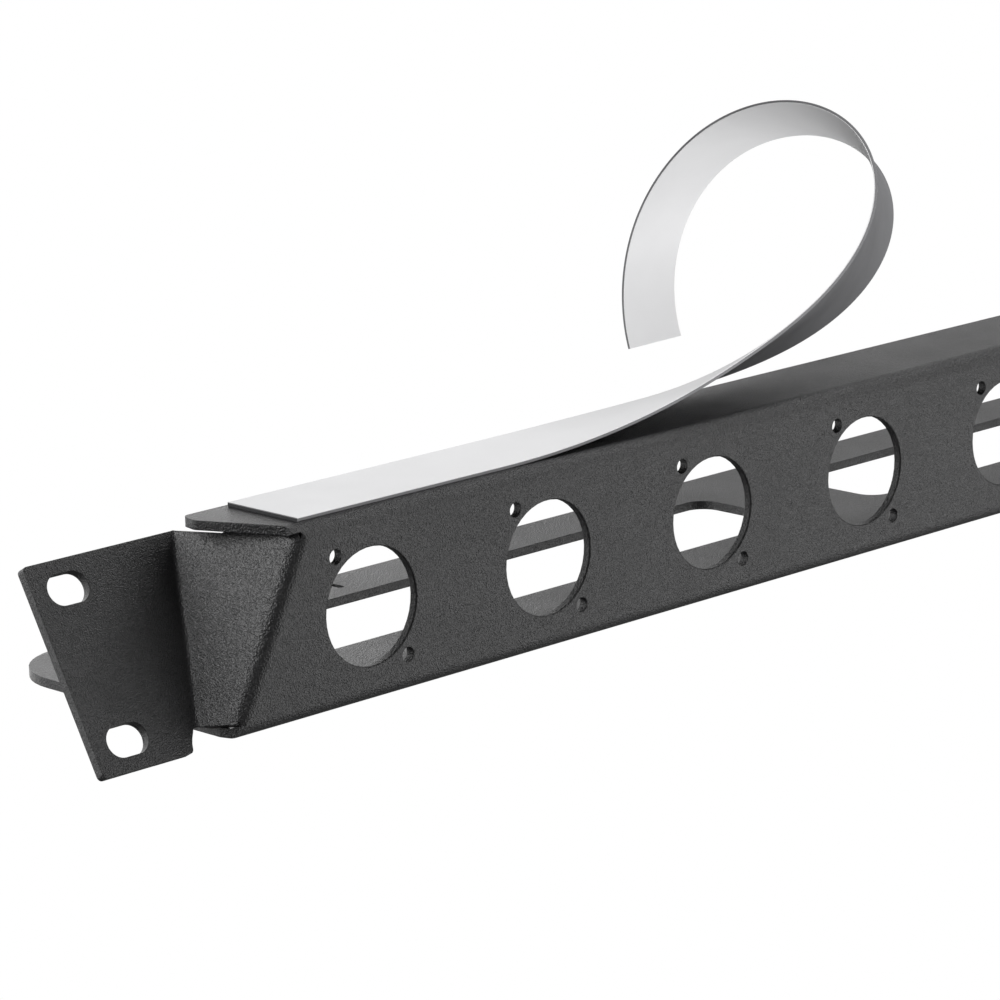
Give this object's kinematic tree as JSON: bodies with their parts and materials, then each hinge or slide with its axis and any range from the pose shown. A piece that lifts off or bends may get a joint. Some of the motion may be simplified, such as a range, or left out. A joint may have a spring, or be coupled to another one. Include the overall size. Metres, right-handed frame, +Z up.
{
  "type": "angled patch panel",
  "caption": "One-unit 19-inch rack patch panel folded from sheet, with a slanted face of round connector cut-outs, a rear cable tie bar and a magnetic label strip.",
  "frame": {"origin": "centre of the four rack slots, on the rear face of the ears", "axes": "+X to the right seen from the front, +Y into the rack, +Z up; the connector face slants down and forward"},
  "size_m": [0.4826, 0.1296, 0.1213],
  "materials": {
    "powder_coat": "fine textured black powder coat",
    "magnetic_rubber": "matt dark grey magnetic rubber",
    "label_film": "satin off-white writable film"
  },
  "bodies": {
    "root": {"folded_panel": "powder_coat", "magnetic_backing": "magnetic_rubber", "label_face": "label_film"}
  },
  "joints": []
}
